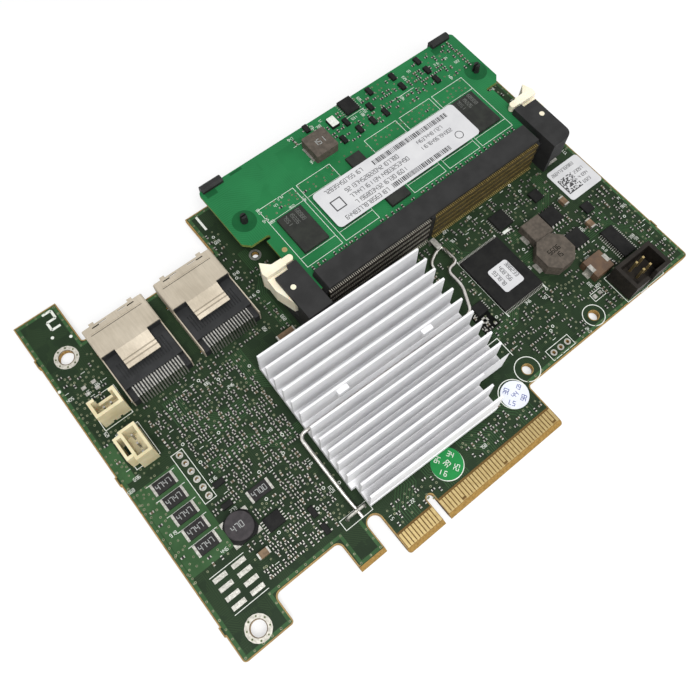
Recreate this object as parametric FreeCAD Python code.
import FreeCAD, Part
import math
import os
from FreeCAD import Matrix, Placement, Rotation, Vector

# Storage controller add-in card, lying component side up, in millimetres.
# X runs along the gold edge connector, Y runs from it towards the memory module, Z is up.
# The origin is the lower end of the first gold contact, on the component side of the board.

# ---------------------------------------------------------------- main board
BOARD_T = 1.57                      # laminate thickness
LEFT, RIGHT = -45.5, 113.0          # long ends of the board
TOP = 108.0                         # far edge
SHELF = 11.5                        # inner edge beside the gold tongue
BACK_TAB_Y, BACK_TAB_X = 3.9, -31.5  # mounting tab at the bracket end
TAB_X, TAB_Y = (-12.4, -4.7), 2.7    # short tab beside the tongue
TONGUE_X, TONGUE_Y = (-0.8, 50.6), -1.3
KEY_X, KEY_W, KEY_TOP = 11.5, 1.9, 6.6
BAY_X, BAY_Y = (-33.0, 8.9), 94.0   # cut-out in front of the cable sockets
BEVEL_RUN, BEVEL_DEPTH = 1.3, 0.42  # lead-in of the edge that slides into the slot
NUB_LEN, NUB_OUT = 2.6, 0.35        # break-off nubs left on the board ends
NUBS_LEFT, NUB_RIGHT = (12.5, 56.5, 95.5), 24.5
HOLE_BIG_R, RING_R, RING_T = 1.95, 3.3, 0.05
HOLES_BIG = [(-38.6, 92.5), (-38.7, 8.0)]
HOLE_SMALL_R = 1.4
HOLES_SMALL = [(53.6, 15.0), (78.6, 15.0)]
TOOL_HOLE, TOOL_HOLE_R = (17.8, 86.7), 0.95
DRILL_GAP = 0.12                    # plated hole larger than its pin, on the radius
DRILL_SIDES = 6                     # small plated holes are drawn six-sided
WIRE_SIDES, PEG_SIDES = 6, 12       # bent wires and the standoffs' peg tips likewise
LAND_SIDES = 16                     # plated lands round the bracket holes
TAIL = 1.0                          # pin ends below the board
ROW_HOLE_R, ROW_PITCH = 0.5, 2.54
ROW6, ROW3 = (-30.2, 52.65), (62.4, 14.0)

# ------------------------------------------------------------ gold contacts
FINGER_PITCH, FINGER_W, FINGER_LEN, FINGER_T = 1.0, 0.70, 3.78, 0.04
SHORT_SIDE_COUNT, LONG_SIDE_COUNT = 11, 38
LONG_START = 13.0                   # first contact after the key
PRESENCE_CUT = 0.85                 # the presence contacts stop short of the edge
PRESENCE_AT = (18.0, 32.0, 49.0)

# ------------------------------------------------------- processor, heat sink
SINK_C, SINK_TURN = (22.95, 34.6), -1.8   # clip-held, it sits slightly turned
SINK_LEN, FIN_PITCH, CHANNEL = 50.5, 3.56, 4.3
UPPER_FIN_COUNT, LOWER_FIN_COUNT = 6, 7
FIN_ROOT, FIN_TIP, FIN_H = 0.95, 0.62, 7.7
BASE_T, BASE_LIP = 2.4, 0.15
CHIP, CHIP_H, CHIP_CAP, CHIP_CAP_H = 31.0, 1.3, 25.0, 0.9
PAD_T = 0.2
CUT_RIGHT_X, CUT_RIGHT_Y = 39.3, 20.3    # corner cut clear of a mounting hole
CUT_LEFT, CUT_LEFT_Y = 1.3, 18.0         # step clear of the clip anchor
BOSS_X, BOSS_LEN, BOSS_OUT, BOSS_H = 13.2, 3.2, 1.25, 1.6
WIRE_R, WIRE_BEND, CLIP_SLACK = 0.5, 1.3, 0.1
ANCHOR_R, ANCHOR_SPAN, ANCHOR_H = 0.42, 5.2, 2.6
STAPLE_OUT, STAPLE_Y = 2.65, 14.3    # round wire staple, out from the bracket end of the sink
HOOK_OUT, HOOK_Y = 10.2, 58.9        # folded strip hook, out from the far end of the sink
HOOK_W, HOOK_REACH, HOOK_T, HOOK_STEM = 1.6, 3.4, 0.5, 0.6
ARM_OUT, CRANK_OUT = 6.4, 11.1       # the wire's arm and its crank, out from the same end

# ------------------------------------------------------------ cable sockets
SAS_X = (-22.8, -1.25)
SAS_W, SAS_H, SAS_WALL = 17.9, 6.4, 0.3
SAS_FRONT, SAS_SHELL_BACK, SAS_BACK = 92.7, 83.6, 70.0
SAS_SIDE_H = 4.4                     # lower side walls behind the shell
TONGUE_W, TONGUE_END = 9.6, 77.4
SAS_PIN_COUNT, SAS_PITCH, SAS_PIN_W, SAS_PIN_T = 18, 0.8, 0.36, 0.2
SAS_DECK, SAS_DECK_BACK = 4.0, 73.6  # black moulding behind the shell
SAS_MOUTH = 5.2                      # depth of the open mouth in front of the moulding
SAS_SLOT_H, SAS_SLOT_W = 1.3, 16.2
SAS_PIN_Z, SAS_PIN_BEND_Y, SAS_FOOT = 3.1, 70.5, 69.2

# ------------------------------------------------------------ memory socket
KEY_RIB_X, KEY_RIB_W = 59.35, 1.3
SOCKET_C, STRIP_HALF = 61.3, 38.2
STRIP_Y, STRIP_Z = (61.0, 67.5), (6.4, 12.0)
TOWER_IN, TOWER_OUT, TOWER_END = 39.1, 46.5, 73.0
RIGHT_NEAR, RIGHT_R = 56.6, 2.6      # near end of the right tower, with its rounded corner
LEFT_NEAR, LEFT_R = 57.5, 0.0        # the left tower is shorter, clear of the heat sink
TOWER_STEP, UNDERCUT = 1.1, 2.6
GROOVE_D = 3.2
DIMM_PITCH, TAIL_W, TAIL_T = 0.6, 0.24, 0.2
DIMM_LEFT_COUNT, DIMM_RIGHT_COUNT = 58, 64
TAIL_TOP, TAIL_LINE = 10.2, 60.5     # height and line of the outer row's drop
TAIL_RECESS = 0.8
HOLD_W, HOLD_T = 4.0, 0.3
LATCH_FLOOR, LATCH_ROOF, LATCH_GAP = 4.7, 10.6, 0.3
PIVOT = (44.35, 67.0)                # from the socket's middle line
PIVOT_R, PIVOT_FIT = 0.75, 0.05
POCKET_IN = 41.4                     # inner wall of the latch pocket

# ------------------------------------------------------------ memory module
MOD_Z, MOD_T = 8.6, 1.0
MOD_WIDE, MOD_WIDE_Y = (14.4, 106.9), (84.5, 106.9)
MOD_HALF, MOD_EDGE_Y = 41.0, 63.2
MOD_FIT = 0.08
RELIEF_H, RELIEF_IN = 1.3, 1.6
STANDOFFS = [(19.2, 91.8), (103.0, 91.4)]
STANDOFF_HOLE_R, STANDOFF_R, PEG_R, PEG_SLIT = 1.6, 2.5, 1.15, 0.5
PEG_UP, PEG_DOWN = 2.7, 1.3
DRAM, DRAM_H, DRAM_Y = (8.0, 12.5), 1.2, 79.9
DRAM_X = (29.8, 42.6, 66.7, 79.5, 92.1)
REGISTER, REGISTER_AT = (6.6, 13.5), (56.4, 77.2)
CLOCK_IC, CLOCK_AT = (4.8, 4.2), (55.0, 88.2)
COIL_IN, SWITCH_IN, LAMP_IN = (-11.6, 9.0), (3.6, 2.6), (-3.6, 4.6)   # from the far edge
LABEL_X, LABEL_Y, LABEL_T, LABEL_R = (37.5, 88.3), (73.5, 86.3), 0.12, 1.3
COIL, COIL_H = 7.5, 3.0
SWITCH_IC, LAMP, LAMP_H = (4.4, 5.2), (2.5, 3.4), 1.1
SOT, SOT_H = (1.4, 2.6), 0.95
SOT_ROWS = [(1.6, [-10.8]), (2.3, [11.7, 20.5, 30.1]), (6.7, [-0.4, 8.4, 20.5, 30.2]),
            (11.0, [-4.7, 1.1, 6.0, 10.7, 30.2])]   # distance from the far edge, places along it
BUMPER, BUMPER_OVER, BUMPER_LIP = 6.6, 1.5, 0.75
BUMPER_INSET = (4.3, 5.3)            # from the module's left and right ends

# --------------------------------------------------------- other connectors
POLE_PITCH, POLE = 2.0, 0.5
BAT_X, BAT_Y, BAT_H, BAT_WALL = (-40.6, -33.0), (70.0, 75.0), 7.8, 0.8
BAT_BACK_H = 3.7                     # low far wall between the two arms
AUX_X, AUX_Y, AUX_H, AUX_WALL = (-38.6, -34.0), (55.4, 64.0), 8.0, 0.75
AUX_LOOP, AUX_LOOP_Y, AUX_PITCH = 1.9, (56.6, 63.2), 2.5
HDR_X, HDR_Y, HDR_H, HDR_WALL = (89.4, 102.8), (12.2, 20.6), 6.5, 1.1
HDR_FLOOR, HDR_PIN, HDR_PIN_TOP, HDR_KEY = 1.2, 0.64, 6.2, 3.0
HDR_PINS_C, HDR_PITCH = (96.8, 16.7), 2.6

# ------------------------------------------------------ parts on the board
FLASH, FLASH_AT, FLASH_H = (14.0, 18.4), (67.2, 39.75), 1.1
FLASH_SPAN, FLASH_LEAD_COUNT, FLASH_PITCH, FLASH_LEAD_W = 20.2, 28, 0.5, 0.22
SWITCH, SWITCH2_AT, SWITCH_H = (4.4, 9.7), (100.3, 26.7), 1.05
BUS_SPAN, BUS_LEAD_COUNT, BUS_PITCH, BUS_LEAD_W = 6.6, 14, 0.65, 0.27
FET, FET_AT, FET_H = (5.2, 5.2), ((91.2, 44.2), (91.8, 34.7)), 1.05
FET_SPAN, FET_PITCH, FET_LEAD_W = 6.5, 1.27, 0.5
LEAD_T = 0.15
COIL_SQ, COIL_SQ_AT, COIL_SQ_H = 6.6, (83.8, 43.3), 3.0
COIL_OCT, COIL_OCT_AT, COIL_OCT_H, COIL_OCT_CUT = 10.2, (82.2, 34.7), 4.0, 2.7
COIL_TAB = (1.2, 3.0, 0.25)
DRUM_AT, DRUM_R, DRUM_BASE, DRUM_BASE_H, DRUM_H = (-28.65, 28.9), 3.55, 7.3, 0.9, 3.2
MOULD, MOULD_AT, MOULD_H = (6.5, 6.0), (89.3, 24.8), 3.0
STRAP_W, STRAP_LIP, STRAP_T = 2.3, 1.1, 0.15
SENSE, SENSE_H, SENSE_END = (6.4, 3.3), 0.65, 0.65
SENSE_X, SENSE_Y0, SENSE_STEP, SENSE_COUNT = -37.1, 49.0, -4.58, 5
SENSE_LONE = (-19.9, 33.1)
SMALL_ICS = [(78.9, 52.3, 5.2, 5.2, 0.9), (92.7, 52.0, 3.3, 3.5, 0.8), (101.6, 40.0, 3.0, 3.2, 0.8),
             (-21.5, 25.1, 4.6, 3.7, 0.9), (-13.0, 20.9, 1.5, 2.9, 0.9), (-13.0, 15.9, 1.5, 2.9, 0.9),
             (-28.1, 35.2, 2.9, 1.5, 0.9), (-26.6, 40.8, 3.1, 1.5, 0.8), (55.4, 35.6, 3.6, 3.4, 0.8)]
CERAMICS = [(-27.9, 20.5, 3.2, 1.7, 1.3), (97.4, 45.6, 1.7, 3.0, 1.3), (98.1, 35.6, 1.7, 3.0, 1.3),
            (10.0, 61.9, 5.6, 2.0, 1.2)]
CERAMIC_END = 0.45


# ------------------------------------------------------------------- helpers
def block(xs, ys, zs):
    """A box between two X values, two Y values and two Z values."""
    return Part.makeBox(xs[1] - xs[0], ys[1] - ys[0], zs[1] - zs[0], Vector(xs[0], ys[0], zs[0]))


def pad(at, size, z, h):
    """A box of a given plan size, centred on a point and standing on z."""
    (x, y), (sx, sy) = at, size
    return block((x - sx / 2, x + sx / 2), (y - sy / 2, y + sy / 2), (z, z + h))


def disc(at, r, z, h):
    return Part.makeCylinder(r, h, Vector(at[0], at[1], z))


def rounded(points, z, h):
    """A plate of height h from corners (x, y, radius), each corner rounded by its radius."""
    edges, starts, ends = [], [], []
    count = len(points)
    for i in range(count):
        x, y, r = points[i]
        here = Vector(x, y, z)
        before = Vector(points[i - 1][0], points[i - 1][1], z) - here
        after = Vector(points[(i + 1) % count][0], points[(i + 1) % count][1], z) - here
        if r <= 0:
            starts.append(here)
            ends.append(here)
            continue
        half = before.getAngle(after) / 2
        back = r / math.tan(half)
        before.normalize()
        after.normalize()
        middle = before + after
        middle.normalize()
        centre = here + middle * (r / math.sin(half))
        start, end = here + before * back, here + after * back
        edges.append(Part.Arc(start, centre - middle * r, end).toShape())
        starts.append(start)
        ends.append(end)
    for i in range(count):
        a, b = ends[i], starts[(i + 1) % count]
        if (b - a).Length > 1e-6:
            edges.append(Part.makeLine(a, b))
    wire = Part.Wire(Part.__sortEdges__(edges))
    return Part.Face(wire).extrude(Vector(0, 0, h))


def prism(points, axis, start, length):
    """A straight bar whose section lies across X or Y; points are (across, z)."""
    if axis == "x":
        corners = [Vector(start, a, z) for a, z in points]
        run = Vector(length, 0, 0)
    else:
        corners = [Vector(a, start, z) for a, z in points]
        run = Vector(0, length, 0)
    return Part.Face(Part.makePolygon(corners + corners[:1])).extrude(run)


def bent_wire(points, r, bend):
    """A round wire along a line of points with every corner bent to a radius."""
    edges, last = [], points[0]
    for i in range(1, len(points) - 1):
        here = points[i]
        into, out = points[i - 1] - here, points[i + 1] - here
        half = into.getAngle(out) / 2
        room = 0.45 * min(into.Length, out.Length)
        back = min(bend / math.tan(half), room)
        radius = back * math.tan(half)
        into.normalize()
        out.normalize()
        middle = into + out
        middle.normalize()
        centre = here + middle * (radius / math.sin(half))
        start, end = here + into * back, here + out * back
        edges.append(Part.makeLine(last, start))
        edges.append(Part.Arc(start, centre - middle * radius, end).toShape())
        last = end
    edges.append(Part.makeLine(last, points[-1]))
    path = Part.Wire(edges)
    run = points[1] - points[0]
    turn = Rotation(Vector(0, 0, 1), run)
    rim = [points[0] + turn.multVec(v) for v in ring(WIRE_SIDES, r, 0)]
    section = Part.Wire(Part.makePolygon(rim + rim[:1]))
    return path.makePipeShell([section], True, True)


def ring(sides, r, z):
    """Corners of a regular polygon about the Z axis."""
    step = 2 * math.pi / sides
    return [Vector(r * math.cos(a), r * math.sin(a), z) for a in along(step / 2, step, sides)]


def drilled(at, r):
    """A small plated hole, as a many-sided tool through the board."""
    corners = ring(DRILL_SIDES, r, -BOARD_T - 1)
    tool = Part.Face(Part.makePolygon(corners + corners[:1])).extrude(Vector(0, 0, BOARD_T + 2))
    tool.translate(Vector(at[0], at[1], 0))
    return tool


def square_way(at, side):
    """Clearance through the board for a square pin."""
    half = side / 2 + DRILL_GAP
    return block((at[0] - half, at[0] + half), (at[1] - half, at[1] + half), (-BOARD_T - 1, 1))


def together(shapes):
    return Part.makeCompound(shapes)


def fused(shapes):
    return shapes[0].multiFuse(shapes[1:]).removeSplitter()


def along(start, step, count):
    """Evenly stepped positions."""
    return [start + step * i for i in range(count)]


def centred_row(middle, step, count):
    return along(middle - step * (count - 1) / 2, step, count)


def mirrored(shape):
    """The same shape on the other side of the memory socket's middle line."""
    return shape.mirror(Vector(SOCKET_C, 0, 0), Vector(1, 0, 0))


def gull_row(positions, edge, tip, z, w, axis):
    """Bent leads from a body edge out to a tip line, one at each position."""
    out = 1 if tip > edge else -1
    across = [(edge, z + LEAD_T), (tip, LEAD_T), (tip, 0), (tip - out * 2 * LEAD_T, 0), (edge, z)]
    return [prism(across, axis, p - w / 2, w) for p in positions]


# ---------------------------------------------------------------- main board
def finger_columns():
    short = along(0.0, FINGER_PITCH, SHORT_SIDE_COUNT)
    return short + along(LONG_START, FINGER_PITCH, LONG_SIDE_COUNT)


def header_pins_xy():
    xs = centred_row(HDR_PINS_C[0], HDR_PITCH, 2)
    ys = centred_row(HDR_PINS_C[1], HDR_PITCH, 2)
    return [(x, y) for x in xs for y in ys]


def battery_pins_xy():
    return [(x, sum(BAT_Y) / 2) for x in centred_row(sum(BAT_X) / 2, POLE_PITCH, 2)]


def aux_pins_xy():
    return [(sum(AUX_X) / 2, y) for y in centred_row(sum(AUX_Y) / 2, AUX_PITCH, 3)]


def staple_middle():
    return SINK_C[0] - SINK_LEN / 2 - STAPLE_OUT


def staple_feet():
    return [(staple_middle() + s * ANCHOR_SPAN / 2, STAPLE_Y) for s in (-1, 1)]


def sas_legs(cx):
    side = SAS_W / 2 - SAS_WALL / 2
    return [(cx + s * side, y) for s in (-1, 1) for y in (72.0, 88.0)]


def hook_at():
    return (SINK_C[0] + SINK_LEN / 2 + HOOK_OUT, HOOK_Y)


def hold_slots():
    x = (TOWER_IN + TOWER_OUT) / 2 + 0.6
    return [(SOCKET_C + x, RIGHT_NEAR + 1.2), (SOCKET_C - x, LEFT_NEAR + 1.2)]


def board_outline():
    key = (KEY_X - KEY_W / 2, KEY_X + KEY_W / 2)
    slot_r = (TONGUE_X[0] - TAB_X[1]) / 2 - 0.01
    return [
        (LEFT, BACK_TAB_Y, 0.9), (BACK_TAB_X, BACK_TAB_Y, 0.9), (BACK_TAB_X, SHELF, 1.5),
        (TAB_X[0], SHELF, 1.5), (TAB_X[0], TAB_Y, 0), (TAB_X[1], TAB_Y, 0),
        (TAB_X[1], SHELF, slot_r), (TONGUE_X[0], SHELF, slot_r), (TONGUE_X[0], TONGUE_Y, 0.8),
        (key[0], TONGUE_Y, 0), (key[0], KEY_TOP, KEY_W / 2 - 0.01),
        (key[1], KEY_TOP, KEY_W / 2 - 0.01), (key[1], TONGUE_Y, 0),
        (TONGUE_X[1], TONGUE_Y, 0.8), (TONGUE_X[1], SHELF, 1.0), (RIGHT, SHELF, 1.2),
        (RIGHT, TOP, 0.8), (BAY_X[1], TOP, 0), (BAY_X[1], BAY_Y, 0.9), (BAY_X[0], BAY_Y, 0.9),
        (BAY_X[0], TOP, 0), (LEFT, TOP, 0)]


def edge_bevel(xs, y):
    """Two long wedges that thin the insertion edge on both faces."""
    far, near = y - 0.2, y + BEVEL_RUN
    deep = BEVEL_DEPTH * (near - far) / BEVEL_RUN
    upper = [(far, -deep), (near, 0), (near, 0.5), (far, 0.5)]
    lower = [(a, -BOARD_T - z) for a, z in upper]
    span = xs[1] - xs[0] + 1.0
    return [prism(s, "x", xs[0] - 0.5, span) for s in (upper, lower)]


def main_board():
    board = rounded(board_outline(), -BOARD_T, BOARD_T)
    nubs = [block((LEFT - NUB_OUT, LEFT + 1), (y - NUB_LEN / 2, y + NUB_LEN / 2), (-BOARD_T, 0))
            for y in NUBS_LEFT]
    nubs.append(block((RIGHT - 1, RIGHT + NUB_OUT),
                      (NUB_RIGHT - NUB_LEN / 2, NUB_RIGHT + NUB_LEN / 2), (-BOARD_T, 0)))
    board = board.multiFuse(nubs)
    round_holes = [(at, HOLE_BIG_R) for at in HOLES_BIG] + [(at, HOLE_SMALL_R) for at in HOLES_SMALL]
    round_holes += [(TOOL_HOLE, TOOL_HOLE_R)] + [(at, STANDOFF_HOLE_R) for at in STANDOFFS]
    small = [((ROW6[0], y), ROW_HOLE_R) for y in along(ROW6[1], -ROW_PITCH, 6)]
    small += [((x, ROW3[1]), ROW_HOLE_R) for x in along(ROW3[0], ROW_PITCH, 3)]
    small += [(at, ANCHOR_R + DRILL_GAP) for at in staple_feet()]
    square = [(at, HDR_PIN) for at in header_pins_xy()] + [(hook_at(), HOOK_STEM)]
    square += [(at, POLE) for at in battery_pins_xy() + aux_pins_xy()]
    small += [(at, 0.5 + DRILL_GAP) for cx in SAS_X for at in sas_legs(cx)]
    small += [(at, 0.6 + DRILL_GAP) for at in hold_slots()]
    tools = [disc(at, r, -BOARD_T - 1, BOARD_T + 2) for at, r in round_holes]
    tools += [drilled(at, r) for at, r in small] + [square_way(at, side) for at, side in square]
    tools += edge_bevel(TONGUE_X, TONGUE_Y) + edge_bevel(TAB_X, TAB_Y)
    return board.cut(together(tools)).removeSplitter()


def hole_lands():
    """Plated lands around the two bracket holes."""
    lands = []
    for at in HOLES_BIG:
        rim = ring(LAND_SIDES, RING_R, 0)
        land = Part.Face(Part.makePolygon(rim + rim[:1])).extrude(Vector(0, 0, RING_T))
        land.translate(Vector(at[0], at[1], 0))
        lands.append(land.cut(disc(at, HOLE_BIG_R, -1, RING_T + 2)))
    return together(lands)


def edge_contacts():
    fingers = []
    for x in finger_columns():
        low = PRESENCE_CUT if x in PRESENCE_AT else 0.0
        span = (x - FINGER_W / 2, x + FINGER_W / 2)
        fingers.append(block(span, (low, FINGER_LEN), (0, FINGER_T)))
    return together(fingers)


# ------------------------------------------------------- processor, heat sink
def sink_place(shape):
    """Moves a shape drawn about the heat sink's middle onto the board."""
    turned = shape.copy()
    turned.Placement = Placement(Vector(SINK_C[0], SINK_C[1], 0),
                                 Rotation(Vector(0, 0, 1), SINK_TURN))
    return turned


def raid_processor():
    body = pad(SINK_C, (CHIP, CHIP), 0, CHIP_H)
    cap = pad(SINK_C, (CHIP_CAP, CHIP_CAP), CHIP_H, CHIP_CAP_H)
    edges = [e for e in cap.Edges if abs(e.BoundBox.ZMin - e.BoundBox.ZMax) > 0.5]
    return body.fuse(cap.makeFillet(1.0, edges)).removeSplitter()


def thermal_pad():
    return pad(SINK_C, (CHIP_CAP - 1.0, CHIP_CAP - 1.0), CHIP_H + CHIP_CAP_H, PAD_T)


def fin_lines():
    """Middle line of every fin, from the far side to the near side."""
    total = FIN_PITCH * (UPPER_FIN_COUNT + LOWER_FIN_COUNT - 2) + CHANNEL
    first = total / 2
    upper = along(first, -FIN_PITCH, UPPER_FIN_COUNT)
    return upper + along(upper[-1] - CHANNEL, -FIN_PITCH, LOWER_FIN_COUNT)


def sink_base_z():
    return CHIP_H + CHIP_CAP_H + PAD_T


def heatsink():
    """An extruded comb of tapered fins, then cut at two corners."""
    z = sink_base_z()
    root, tip = z + BASE_T, z + BASE_T + FIN_H
    lines = fin_lines()
    outer = lines[0] + FIN_ROOT / 2 + BASE_LIP
    comb = [prism([(-outer, z), (outer, z), (outer, root), (-outer, root)],
                  "x", -SINK_LEN / 2, SINK_LEN)]
    for y in lines:
        section = [(y - FIN_ROOT / 2, root - 0.1), (y + FIN_ROOT / 2, root - 0.1),
                   (y + FIN_TIP / 2, tip), (y - FIN_TIP / 2, tip)]
        comb.append(prism(section, "x", -SINK_LEN / 2, SINK_LEN))
    above = lines[UPPER_FIN_COUNT - 1]
    for side in (-1, 1):
        face = above - FIN_TIP / 2
        section = [(above, tip - 1.2), (above, tip - 1.2 - BOSS_H - BOSS_OUT),
                   (face - BOSS_OUT, tip - 1.2 - BOSS_H), (face - BOSS_OUT, tip - 1.2)]
        comb.append(prism(section, "x", side * BOSS_X - BOSS_LEN / 2, BOSS_LEN))
    sink = fused(comb)
    edge = SINK_LEN / 2
    right = CUT_RIGHT_X - SINK_C[0]
    sink = sink.cut(block((right, edge + 1), (-outer - 1, CUT_RIGHT_Y - SINK_C[1]), (z - 1, tip + 1)))
    sink = sink.cut(block((-edge - 1, -edge + CUT_LEFT),
                          (-outer - 1, CUT_LEFT_Y - SINK_C[1]), (z - 1, tip + 1)))
    return sink_place(sink.removeSplitter())


def heatsink_clip():
    """Spring wire through the channel, with a hooked arm at each end."""
    lines = fin_lines()
    middle = (lines[UPPER_FIN_COUNT - 1] + lines[UPPER_FIN_COUNT]) / 2
    floor = sink_base_z() + BASE_T + WIRE_R + 0.02
    turn = Rotation(Vector(0, 0, 1), SINK_TURN)

    def in_channel(x, z):
        return Vector(SINK_C[0], SINK_C[1], 0) + turn.multVec(Vector(x, middle - 0.55, z))

    bar, hook = ANCHOR_H - 2 * ANCHOR_R - WIRE_R - CLIP_SLACK, HOOK_Y - HOOK_REACH
    arm, crank = [SINK_C[0] + SINK_LEN / 2 + out for out in (ARM_OUT, CRANK_OUT)]
    staple_x = staple_middle()
    points = [
        Vector(staple_x + 0.5, STAPLE_Y - 1.9, WIRE_R + 0.4), Vector(staple_x + 0.5, STAPLE_Y, bar),
        Vector(staple_x + 0.1, STAPLE_Y + 4.5, 3.0), in_channel(-SINK_LEN / 2 - 2.6, floor),
        in_channel(0.0, floor + 0.8), in_channel(SINK_LEN / 2 + 2.4, floor),
        Vector(arm, 42.5, 4.6), Vector(arm + 0.4, 48.9, 3.6), Vector(crank, 49.3, 3.0),
        Vector(crank + 0.4, hook + 0.6, 1.5), Vector(crank - 2.3, hook + 0.1, 1.4),
        Vector(arm - 0.6, 53.9, 1.2), Vector(arm - 1.0, 52.3, 1.2)]
    return bent_wire(points, WIRE_R, WIRE_BEND)


def clip_anchors():
    """A wire staple and a folded strip hook, both soldered through the board."""
    a, b = [Vector(x, y, 0) for x, y in staple_feet()]
    low, high = Vector(0, 0, -BOARD_T - TAIL), Vector(0, 0, ANCHOR_H - ANCHOR_R)
    staple = bent_wire([a + low, a + high, b + high, b + low], ANCHOR_R, 0.7)
    (x, y), t, top = hook_at(), HOOK_T, ANCHOR_H
    profile = [(y + t / 2, 0), (y + t / 2, top), (y - HOOK_REACH, top), (y - HOOK_REACH, top - t),
               (y - t / 2, top - t), (y - t / 2, 0)]
    hook = prism(profile, "x", x - HOOK_W / 2, HOOK_W)
    stem = block((x - HOOK_STEM / 2, x + HOOK_STEM / 2), (y - t / 2, y + t / 2),
                 (-BOARD_T - TAIL, 0.1))
    return together([staple, hook.fuse(stem)])


# ------------------------------------------------------------ cable sockets
def sas_shell(cx):
    """Folded metal cage: a tube in front, low side walls and a sprung tongue behind."""
    half, t = SAS_W / 2, SAS_WALL
    xs = (cx - half, cx + half)
    tube = block(xs, (SAS_SHELL_BACK, SAS_FRONT), (0.1, SAS_H))
    edges = [e for e in tube.Edges if abs(e.BoundBox.YMax - e.BoundBox.YMin) > 1]
    tube = tube.makeFillet(0.6, edges)
    bore = block((xs[0] + t, xs[1] - t), (SAS_SHELL_BACK - 1, SAS_FRONT + 1), (0.1 + t, SAS_H - t))
    tube = tube.cut(bore)
    walls = [block((x, x + t), (SAS_BACK, SAS_SHELL_BACK + 0.5), (0.1, SAS_SIDE_H))
             for x in (xs[0], xs[1] - t)]
    hold = SAS_H - t
    drop = [(SAS_SHELL_BACK + 0.2, hold), (SAS_SHELL_BACK + 0.2, SAS_H), (SAS_SHELL_BACK - 0.6, SAS_H),
            (80.2, 5.4), (79.6, 5.75), (79.0, 5.4), (78.4, 5.75), (TONGUE_END, 5.3),
            (TONGUE_END, 5.0), (78.4, 5.4), (79.0, 5.05), (79.6, 5.4), (80.3, 5.05),
            (SAS_SHELL_BACK - 0.7, hold)]
    tongue = prism(drop, "x", cx - TONGUE_W / 2, TONGUE_W)
    lips = [block((cx + x - 0.7, cx + x + 0.7), (SAS_FRONT - 0.2, SAS_FRONT + 0.7),
                  (SAS_H - t, SAS_H)) for x in (-5.8, 5.6)]
    legs = [block((x - 0.15, x + 0.15), (y - 0.4, y + 0.4), (-BOARD_T - TAIL, 0.5))
            for x, y in sas_legs(cx)]
    cage = fused([tube] + walls + [tongue] + lips + legs)
    slits = [block((cx + x - 1.15, cx + x + 1.15), (SAS_FRONT - 0.75, SAS_FRONT - 0.5),
                   (SAS_H - 2 * t, SAS_H + 1)) for x in (-3.1, 2.7)]
    rib = block((cx - 7.4, cx + 7.5), (SAS_FRONT - 2.7, SAS_FRONT - 2.1), (SAS_H - 0.12, SAS_H + 1))
    return cage.cut(together(slits + [rib])).removeSplitter()


def sas_housing(cx):
    """Black moulding: a nose with the plug slot inside the cage, a ribbed deck behind it."""
    half = SAS_W / 2 - SAS_WALL
    nose_front = SAS_FRONT - SAS_MOUTH
    nose = block((cx - half, cx + half), (SAS_SHELL_BACK - 0.2, nose_front), (0.4, SAS_H - SAS_WALL))
    deck = block((cx - half, cx + half), (SAS_DECK_BACK, SAS_SHELL_BACK), (0, SAS_DECK))
    ends = [block((cx + s * (half - 0.75) - 0.75, cx + s * (half - 0.75) + 0.75),
                  (SAS_BACK, SAS_DECK_BACK + 0.1), (0, SAS_PIN_Z - 0.4)) for s in (-1, 1)]
    body = fused([nose, deck] + ends)
    middle = (0.4 + SAS_H - SAS_WALL) / 2
    slot = pad((cx, nose_front - 2.0), (SAS_SLOT_W, 6.0), middle - SAS_SLOT_H / 2, SAS_SLOT_H)
    grooves = [block((x - 0.12, x + 0.12), (75.6, 80.6), (SAS_DECK - 0.3, SAS_DECK + 1))
               for x in centred_row(cx, SAS_PITCH, SAS_PIN_COUNT)]
    return body.cut(together([slot] + grooves)).removeSplitter()


def sas_contacts(cx):
    """Contacts run back from the moulding and bend down to the board."""
    contacts = []
    bend = [(SAS_DECK_BACK, SAS_PIN_Z), (SAS_DECK_BACK, SAS_PIN_Z + SAS_PIN_T),
            (SAS_PIN_BEND_Y, SAS_PIN_Z - 0.4 + SAS_PIN_T), (SAS_FOOT, SAS_PIN_T),
            (SAS_FOOT, 0), (SAS_PIN_BEND_Y + 0.2, SAS_PIN_Z - 0.4)]
    for x in centred_row(cx, SAS_PITCH, SAS_PIN_COUNT):
        contacts.append(prism(bend, "x", x - SAS_PIN_W / 2, SAS_PIN_W))
    return together(contacts)


# ------------------------------------------------------------ memory socket
def tower(y0, corner):
    """End tower with its latch pocket, drawn for the right-hand end."""
    x0, x1, y1 = SOCKET_C + TOWER_IN, SOCKET_C + TOWER_OUT, TOWER_END
    corners = [(x0, y0, 0), (x1, y0, corner), (x1, y1 - TOWER_STEP, 0),
               (x0 + 2.9, y1 - TOWER_STEP, 0), (x0 + 2.9, y1, 0), (x0, y1, 0)]
    body = rounded(corners, 0, STRIP_Z[1])
    pocket = block((SOCKET_C + POCKET_IN, x1 + 1), (PIVOT[1] - 4.6, y1 + 1),
                   (LATCH_FLOOR, LATCH_ROOF))
    bore = disc((SOCKET_C + PIVOT[0], PIVOT[1]), PIVOT_R + PIVOT_FIT, LATCH_FLOOR - 1.6, 20)
    undercut = block((x0 + 1.2, x1 + 1), (y0 - 1, y0 + UNDERCUT), (-1, LATCH_FLOOR - 0.5))
    guide = block((x0 - 1, SOCKET_C + MOD_HALF + MOD_FIT), (MOD_EDGE_Y, y1 + 1),
                  (MOD_Z - MOD_FIT, MOD_Z + MOD_T + MOD_FIT))
    return body.cut(together([pocket, bore, undercut, guide]))


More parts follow.
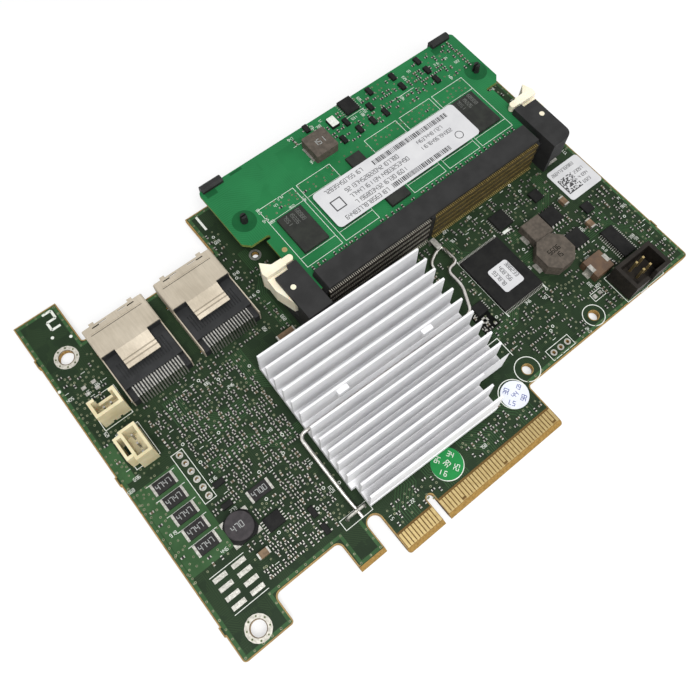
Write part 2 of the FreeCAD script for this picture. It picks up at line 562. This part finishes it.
def memory_socket():
    """Long slotted strip carried by two towers, open below for the contact tails."""
    x0, x1 = SOCKET_C - TOWER_IN, SOCKET_C + TOWER_IN
    strip = block((x0 - 0.2, x1 + 0.2), STRIP_Y, STRIP_Z)
    slot = block((SOCKET_C - MOD_HALF - MOD_FIT, SOCKET_C + MOD_HALF + MOD_FIT),
                 (MOD_EDGE_Y, STRIP_Y[1] + 1), (MOD_Z - MOD_FIT, MOD_Z + MOD_T + MOD_FIT))
    recess = block((SOCKET_C - STRIP_HALF, SOCKET_C + STRIP_HALF),
                   (STRIP_Y[0] - 1, STRIP_Y[0] + TAIL_RECESS), (STRIP_Z[0] - 1, STRIP_Z[1] - 1.0))
    side = TOWER_IN - STRIP_HALF
    lip = STRIP_Z[1] - GROOVE_D
    groove = [(x1, lip), (x1, STRIP_Z[1] + 1), (x1 - side - 0.9, STRIP_Z[1] + 1),
              (x1 - side - 0.9, STRIP_Z[1]), (x1 - side, lip)]
    groove = prism(groove, "y", STRIP_Y[0] - 1, STRIP_Y[1] - STRIP_Y[0] + 2)
    strip = strip.cut(together([slot, recess, groove, mirrored(groove)]))
    rib = block((KEY_RIB_X - KEY_RIB_W / 2, KEY_RIB_X + KEY_RIB_W / 2),
                (STRIP_Y[0] - 0.4, STRIP_Y[0] + 1.6), (0, STRIP_Z[1] - 1.0))
    key = block((KEY_RIB_X - 0.5, KEY_RIB_X + 0.5), (MOD_EDGE_Y - 0.5, STRIP_Y[1] - 0.3), STRIP_Z)
    skirt = block((x0 - 0.2, x1 + 0.2), (STRIP_Y[1] - 1.0, STRIP_Y[1]), (0, STRIP_Z[0] + 0.2))
    towers = [tower(RIGHT_NEAR, RIGHT_R), mirrored(tower(LEFT_NEAR, LEFT_R))]
    return fused([strip, rib, key, skirt] + towers)


def dimm_columns():
    left = along(KEY_RIB_X - 1.05, -DIMM_PITCH, DIMM_LEFT_COUNT)
    return left + along(KEY_RIB_X + 1.05, DIMM_PITCH, DIMM_RIGHT_COUNT)


def memory_socket_contacts():
    """Outer row of tails, sloping from the moulding to the board."""
    face, t = STRIP_Y[0] + TAIL_RECESS, TAIL_T
    lean = [(face, TAIL_TOP), (TAIL_LINE, 0), (TAIL_LINE + t, 0), (face, TAIL_TOP - 2 * t)]
    return together([prism(lean, "x", x - TAIL_W / 2, TAIL_W) for x in dimm_columns()])


def socket_hold_downs():
    """Soldered metal tabs that anchor the towers."""
    tabs = []
    for x, y in hold_slots():
        back = y - 1.2 + UNDERCUT
        plate = block((x - HOLD_W / 2, x + HOLD_W / 2), (back - 2.0, back), (0, HOLD_T))
        riser = block((x - HOLD_W / 2, x + HOLD_W / 2), (back - HOLD_T, back),
                      (0, LATCH_FLOOR - 0.5))
        stem = block((x - 0.5, x + 0.5), (y - HOLD_T / 2, y + HOLD_T / 2), (-BOARD_T - TAIL, 0.1))
        tabs.append(fused([plate, riser, stem]))
    return together(tabs)


def latch():
    """Right-hand latch: blade in the tower pocket, thumb tab, arm over the module."""
    z0, z1 = LATCH_FLOOR + LATCH_GAP, LATCH_ROOF - LATCH_GAP
    top = STRIP_Z[1]
    px, py = SOCKET_C + PIVOT[0], PIVOT[1]
    inner, outer = SOCKET_C + POCKET_IN + LATCH_GAP, SOCKET_C + TOWER_OUT
    blade = rounded([(px + 1.2, py - 3.3, 0), (px + 2.1, py - 2.9, 0), (outer + 1.6, py + 2.6, 1.2),
                     (outer + 1.4, py + 7.2, 0), (inner, py + 7.2, 0), (inner, py + 0.4, 1.2),
                     (px - 1.2, py - 1.7, 0.8)], z0, z1 - z0)
    end = TOWER_END + LATCH_GAP
    head = rounded([(inner + 0.2, end, 0), (outer + 1.5, end, 0), (outer + 1.9, end + 1.6, 0.8),
                    (outer + 0.7, end + 4.7, 0), (px + 0.6, end + 2.4, 0.8), (inner + 0.2, end + 2.3, 0)],
                   z0, top - z0)
    reach = SOCKET_C + MOD_HALF - 1.9
    arm = rounded([(reach, end + 0.2, 0.9), (inner + 1, end + 0.2, 0), (inner + 1, end + 2.1, 0),
                   (reach, end + 2.1, 0.9)], MOD_Z + MOD_T + LATCH_GAP, top - MOD_Z - MOD_T - LATCH_GAP)
    pin = disc((px, py), PIVOT_R, LATCH_FLOOR - 1.4, top - LATCH_FLOOR + 1.4)
    return fused([blade, head, arm, pin])


# ------------------------------------------------------------ memory module
def memory_board():
    wide, (wy0, wy1) = MOD_WIDE, MOD_WIDE_Y
    nx0, nx1 = SOCKET_C - MOD_HALF, SOCKET_C + MOD_HALF
    neck = wy0 - RELIEF_H
    corners = [
        (nx0, MOD_EDGE_Y, 0), (nx1, MOD_EDGE_Y, 0), (nx1, neck, 0),
        (nx1 - RELIEF_IN, neck, RELIEF_H / 2 - 0.01), (nx1 - RELIEF_IN, wy0, RELIEF_H / 2 - 0.01),
        (wide[1] - 1.9, wy0, 0), (wide[1], wy0 + 2.0, 0), (wide[1], wy1, 1.4),
        (wide[0], wy1, 1.4), (wide[0], wy0 + 2.0, 0), (wide[0] + 1.9, wy0, 0),
        (nx0 + RELIEF_IN, wy0, RELIEF_H / 2 - 0.01), (nx0 + RELIEF_IN, neck, RELIEF_H / 2 - 0.01),
        (nx0, neck, 0)]
    board = rounded(corners, MOD_Z, MOD_T)
    holes = [disc(at, STANDOFF_HOLE_R, MOD_Z - 1, MOD_T + 2) for at in STANDOFFS]
    notch = block((KEY_RIB_X - 0.6, KEY_RIB_X + 0.6), (MOD_EDGE_Y - 1, STRIP_Y[1]), (MOD_Z - 1, MOD_Z + MOD_T + 1))
    return board.cut(together(holes + [notch]))


def chip(at, size, z, h):
    """A moulded package with a slight bevel round its top."""
    body = pad(at, size, z, h)
    rim = [e for e in body.Edges if e.BoundBox.ZMin > z + h - 0.01]
    return body.makeChamfer(0.12, rim)


def memory_chips():
    z = MOD_Z + MOD_T
    return together([chip((x, DRAM_Y), DRAM, z, DRAM_H) for x in DRAM_X])


def register_chips():
    z = MOD_Z + MOD_T
    return together([chip(REGISTER_AT, REGISTER, z, DRAM_H), chip(CLOCK_AT, CLOCK_IC, z, 1.0)])


def memory_label():
    (x0, x1), (y0, y1), r = LABEL_X, LABEL_Y, LABEL_R
    corners = [(x0, y0, r), (x1, y0, r), (x1, y1, r), (x0, y1, r)]
    return rounded(corners, MOD_Z + MOD_T + DRAM_H, LABEL_T)


def on_module(place):
    """A point given along the module from the socket's middle and in from the far edge."""
    return (SOCKET_C + place[0], MOD_WIDE_Y[1] - place[1])


def module_inductor():
    z = MOD_Z + MOD_T
    body = pad(on_module(COIL_IN), (COIL, COIL), z, COIL_H)
    edges = [e for e in body.Edges if abs(e.BoundBox.ZMin - e.BoundBox.ZMax) > 0.5]
    return body.makeFillet(0.5, edges)


def module_power_parts():
    z = MOD_Z + MOD_T
    parts = [chip(on_module(SWITCH_IN), SWITCH_IC, z, 1.0)]
    parts += [chip(on_module((x, y)), SOT, z, SOT_H) for y, places in SOT_ROWS for x in places]
    parts.append(chip(on_module(LAMP_IN), LAMP, z, LAMP_H))
    return together(parts)


def module_bumper(x):
    """Soft edge guard pressed over the far edge of the module."""
    y = MOD_WIDE_Y[1]
    z0, z1 = MOD_Z - 1.1, MOD_Z + MOD_T + BUMPER_OVER
    guard = block((x - BUMPER / 2, x + BUMPER / 2), (y - 1.6, y + BUMPER_LIP), (z0, z1))
    edges = [e for e in guard.Edges if abs(e.BoundBox.XMax - e.BoundBox.XMin) > 1]
    guard = guard.makeChamfer(0.6, edges)
    return guard.cut(block((x - BUMPER, x + BUMPER), (y - 2, y), (MOD_Z, MOD_Z + MOD_T)))


def module_bumpers():
    return together([module_bumper(MOD_WIDE[0] + BUMPER_INSET[0]),
                     module_bumper(MOD_WIDE[1] - BUMPER_INSET[1])])


def standoff(at):
    """Nylon post between the two boards with a split peg through each of them."""
    top = MOD_Z + MOD_T + PEG_UP
    low = -BOARD_T - PEG_DOWN
    post = disc((0, 0), STANDOFF_R, 0, MOD_Z)
    for foot, tip in ((0, low), (MOD_Z, top)):
        loops = [Part.makePolygon(c + c[:1]) for c in (ring(PEG_SIDES, PEG_R, foot),
                                                       ring(PEG_SIDES, PEG_R * 0.8, tip))]
        post = post.fuse(Part.makeLoft([Part.Wire(w) for w in loops], True, True))
    slits = [block((-3, 3), (-PEG_SLIT / 2, PEG_SLIT / 2), zs)
             for zs in ((MOD_Z + MOD_T, top + 1), (low - 1, -BOARD_T))]
    post = post.cut(together(slits))
    post.translate(Vector(at[0], at[1], 0))
    return post


def module_standoffs():
    return together([standoff(at) for at in STANDOFFS])


# --------------------------------------------------------- other connectors
def battery_connector():
    """Open-topped shroud with two tall arms beside a low far wall."""
    xs, ys, w = BAT_X, BAT_Y, BAT_WALL
    body = block(xs, ys, (0, BAT_H))
    well = block((xs[0] + w, xs[1] - w), (ys[0] + w, ys[1] - w), (1.6, BAT_H + 1))
    gap = block((xs[0] + 1.9, xs[1] - 1.6), (ys[1] - w - 0.5, ys[1] + 1), (BAT_BACK_H, BAT_H + 1))
    feet = [block((x - 0.35, x + 0.35), (ys[0] - 1, ys[0] + 0.5), (-1, 0.9))
            for x, y in battery_pins_xy()]
    pins = [block((x - POLE / 2, x + POLE / 2), (y - POLE / 2, y + POLE / 2), (-1, 3))
            for x, y in battery_pins_xy()]
    return body.cut(together([well, gap] + feet + pins))


def square_pins(places, size, top):
    return together([block((x - size / 2, x + size / 2), (y - size / 2, y + size / 2),
                           (-BOARD_T - TAIL, top)) for x, y in places])


def aux_connector():
    """Tall shroud with a polarising loop along one side."""
    xs, ys, w = AUX_X, AUX_Y, AUX_WALL
    body = block(xs, ys, (0, AUX_H))
    loop = block((xs[0] - AUX_LOOP, xs[0] + 0.1), AUX_LOOP_Y, (1.5, AUX_H))
    body = body.fuse(loop)
    well = block((xs[0] + w, xs[1] - w), (ys[0] + w, ys[1] - w), (1.8, AUX_H + 1))
    window = block((xs[0] - AUX_LOOP + 0.7, xs[0]), (AUX_LOOP_Y[0] + 0.8, AUX_LOOP_Y[1] - 0.8),
                   (0, AUX_H + 1))
    pins = [block((x - POLE / 2, x + POLE / 2), (y - POLE / 2, y + POLE / 2), (-1, 3))
            for x, y in aux_pins_xy()]
    return body.cut(together([well, window] + pins)).removeSplitter()


def power_header():
    """Black box header with a key gap in its near wall."""
    xs, ys, w = HDR_X, HDR_Y, HDR_WALL
    body = block(xs, ys, (0, HDR_H))
    well = block((xs[0] + w, xs[1] - w), (ys[0] + w, ys[1] - w), (HDR_FLOOR, HDR_H + 1))
    middle = sum(xs) / 2
    key = block((middle - HDR_KEY / 2, middle + HDR_KEY / 2), (ys[0] - 1, ys[0] + w + 0.5),
                (HDR_FLOOR, HDR_H + 1))
    pins = [block((x - HDR_PIN / 2, x + HDR_PIN / 2), (y - HDR_PIN / 2, y + HDR_PIN / 2), (-1, 3))
            for x, y in header_pins_xy()]
    return body.cut(together([well, key] + pins))


# ------------------------------------------------------ parts on the board
def flash_leads():
    x, y = FLASH_AT
    xs = centred_row(x, FLASH_PITCH, FLASH_LEAD_COUNT)
    rows = []
    for side in (-1, 1):
        rows += gull_row(xs, y + side * FLASH[1] / 2, y + side * FLASH_SPAN / 2, 0.5, FLASH_LEAD_W, "x")
    return together(rows)


def bus_leads():
    x, y = SWITCH2_AT
    ys = centred_row(y, BUS_PITCH, BUS_LEAD_COUNT)
    rows = []
    for side in (-1, 1):
        rows += gull_row(ys, x + side * SWITCH[0] / 2, x + side * BUS_SPAN / 2, 0.45, BUS_LEAD_W, "y")
    return together(rows)


def mosfet_leads():
    rows = []
    for x, y in FET_AT:
        for side in (-1, 1):
            rows += gull_row(centred_row(x, FET_PITCH, 4), y + side * FET[1] / 2,
                             y + side * FET_SPAN / 2, 0.4, FET_LEAD_W, "x")
    return together(rows)


def octagon_inductor():
    (x, y), half, c = COIL_OCT_AT, COIL_OCT / 2, COIL_OCT_CUT
    corners = [(x - half + c, y - half), (x + half - c, y - half), (x + half, y - half + c),
               (x + half, y + half - c), (x + half - c, y + half), (x - half + c, y + half),
               (x - half, y + half - c), (x - half, y - half + c)]
    return rounded([(px, py, 0.3) for px, py in corners], 0, COIL_OCT_H)


def inductor_terminals():
    """Tinned tabs beside the square and the eight-sided inductor."""
    w, length, t = COIL_TAB
    tabs = []
    for (x, y), half in ((COIL_SQ_AT, COIL_SQ / 2), (COIL_OCT_AT, COIL_OCT / 2)):
        tabs.append(block((x - half - w, x - half), (y - length / 2, y + length / 2), (0, t)))
        tabs.append(block((x + half, x + half + 0.4), (y - length / 2, y + length / 2), (0, t)))
    return together(tabs)


def drum_base():
    """Square base of the wound inductor, with its corners left open for the ends."""
    half = DRUM_BASE / 2
    (x, y), c = DRUM_AT, 1.3
    corners = [(x - half + c, y - half), (x + half - c, y - half), (x + half, y - half + c),
               (x + half, y + half - c), (x + half - c, y + half), (x - half + c, y + half),
               (x - half, y + half - c), (x - half, y - half + c)]
    return rounded([(px, py, 0) for px, py in corners], 0, DRUM_BASE_H)


def drum_core():
    """Turned ferrite core: a waist for the winding under a wide flange."""
    waist, flange = DRUM_R - 0.9, 0.6
    z0, z1 = DRUM_BASE_H, DRUM_H
    profile = [(0, z0), (waist, z0), (waist, z1 - flange), (DRUM_R, z1 - flange), (DRUM_R, z1 - 0.15),
               (DRUM_R - 0.15, z1), (0, z1)]
    face = Part.Face(Part.makePolygon([Vector(r, 0, z) for r, z in profile + profile[:1]]))
    core = face.revolve(Vector(0, 0, 0), Vector(0, 0, 1), 360)
    core.translate(Vector(DRUM_AT[0], DRUM_AT[1], 0))
    return core


def mould_straps():
    """Folded end straps of the moulded part: foot, riser and top lip."""
    (x, y), half = MOULD_AT, MOULD[0] / 2
    straps = []
    for s in (-1, 1):
        edge, t = x + s * half, s * STRAP_T
        section = [(edge, 0), (edge + s * 0.9, 0), (edge + s * 0.9, STRAP_T), (edge + t, STRAP_T),
                   (edge + t, MOULD_H + STRAP_T), (edge - s * STRAP_LIP, MOULD_H + STRAP_T),
                   (edge - s * STRAP_LIP, MOULD_H), (edge, MOULD_H)]
        straps.append(prism(section, "y", y - STRAP_W / 2, STRAP_W))
    return together(straps)


def sense_places():
    return [(SENSE_X, y) for y in along(SENSE_Y0, SENSE_STEP, SENSE_COUNT)] + [SENSE_LONE]


def sense_resistors():
    body = (SENSE[0] - 2 * SENSE_END, SENSE[1])
    return together([pad(at, body, 0, SENSE_H) for at in sense_places()])


def end_caps(at, size, h, end):
    (x, y), (sx, sy) = at, size
    if sx >= sy:
        cap, offs = (end, sy), [(-(sx - end) / 2, 0), ((sx - end) / 2, 0)]
    else:
        cap, offs = (sx, end), [(0, -(sy - end) / 2), (0, (sy - end) / 2)]
    return [pad((x + dx, y + dy), cap, 0, h) for dx, dy in offs]


def sense_terminals():
    caps = []
    for at in sense_places():
        caps += end_caps(at, SENSE, SENSE_H, SENSE_END)
    return together(caps)


def ceramic_capacitors():
    bodies = []
    for x, y, sx, sy, h in CERAMICS:
        core = (sx - 2 * CERAMIC_END, sy) if sx >= sy else (sx, sy - 2 * CERAMIC_END)
        bodies.append(pad((x, y), core, 0, h))
    return together(bodies)


def capacitor_ends():
    caps = []
    for x, y, sx, sy, h in CERAMICS:
        caps += end_caps((x, y), (sx, sy), h, CERAMIC_END)
    return together(caps)


def small_ics():
    return together([chip((x, y), (sx, sy), 0, h) for x, y, sx, sy, h in SMALL_ICS])


PARTS = {
    "main_board": main_board,
    "mounting_hole_lands": hole_lands,
    "edge_contacts": edge_contacts,
    "raid_processor": raid_processor,
    "thermal_pad": thermal_pad,
    "heatsink": heatsink,
    "heatsink_clip": heatsink_clip,
    "clip_anchors": clip_anchors,
    "sas_shell_outer": lambda: sas_shell(SAS_X[0]),
    "sas_housing_outer": lambda: sas_housing(SAS_X[0]),
    "sas_contacts_outer": lambda: sas_contacts(SAS_X[0]),
    "sas_shell_inner": lambda: sas_shell(SAS_X[1]),
    "sas_housing_inner": lambda: sas_housing(SAS_X[1]),
    "sas_contacts_inner": lambda: sas_contacts(SAS_X[1]),
    "memory_socket": memory_socket,
    "memory_socket_contacts": memory_socket_contacts,
    "socket_hold_downs": socket_hold_downs,
    "latch_right": latch,
    "latch_left": lambda: mirrored(latch()),
    "memory_board": memory_board,
    "memory_chips": memory_chips,
    "register_chips": register_chips,
    "memory_label": memory_label,
    "module_inductor": module_inductor,
    "module_power_parts": module_power_parts,
    "module_bumpers": module_bumpers,
    "module_standoffs": module_standoffs,
    "battery_connector": battery_connector,
    "battery_pins": lambda: square_pins(battery_pins_xy(), POLE, 5.6),
    "aux_connector": aux_connector,
    "aux_pins": lambda: square_pins(aux_pins_xy(), POLE, 5.8),
    "power_header": power_header,
    "power_header_pins": lambda: square_pins(header_pins_xy(), HDR_PIN, HDR_PIN_TOP),
    "flash_chip": lambda: chip(FLASH_AT, FLASH, 0, FLASH_H),
    "flash_leads": flash_leads,
    "bus_switch_chip": lambda: chip(SWITCH2_AT, SWITCH, 0, SWITCH_H),
    "bus_switch_leads": bus_leads,
    "mosfets": lambda: together([chip(at, FET, 0, FET_H) for at in FET_AT]),
    "mosfet_leads": mosfet_leads,
    "square_inductor": lambda: chip(COIL_SQ_AT, (COIL_SQ, COIL_SQ), 0, COIL_SQ_H),
    "octagon_inductor": octagon_inductor,
    "inductor_terminals": inductor_terminals,
    "drum_inductor_base": drum_base,
    "drum_inductor_core": drum_core,
    "moulded_capacitor": lambda: chip(MOULD_AT, MOULD, 0, MOULD_H),
    "moulded_capacitor_straps": mould_straps,
    "sense_resistors": sense_resistors,
    "sense_resistor_ends": sense_terminals,
    "ceramic_capacitors": ceramic_capacitors,
    "capacitor_ends": capacitor_ends,
    "small_ics": small_ics,
}

os.makedirs("parts", exist_ok=True)
for name, make in PARTS.items():
    shape = make()
    if shape.isNull() or not shape.isValid() or not shape.Solids:
        raise ValueError(name + " is not a sound solid")
    shape.exportStep("parts/" + name + ".step")
print(len(PARTS), "parts written")
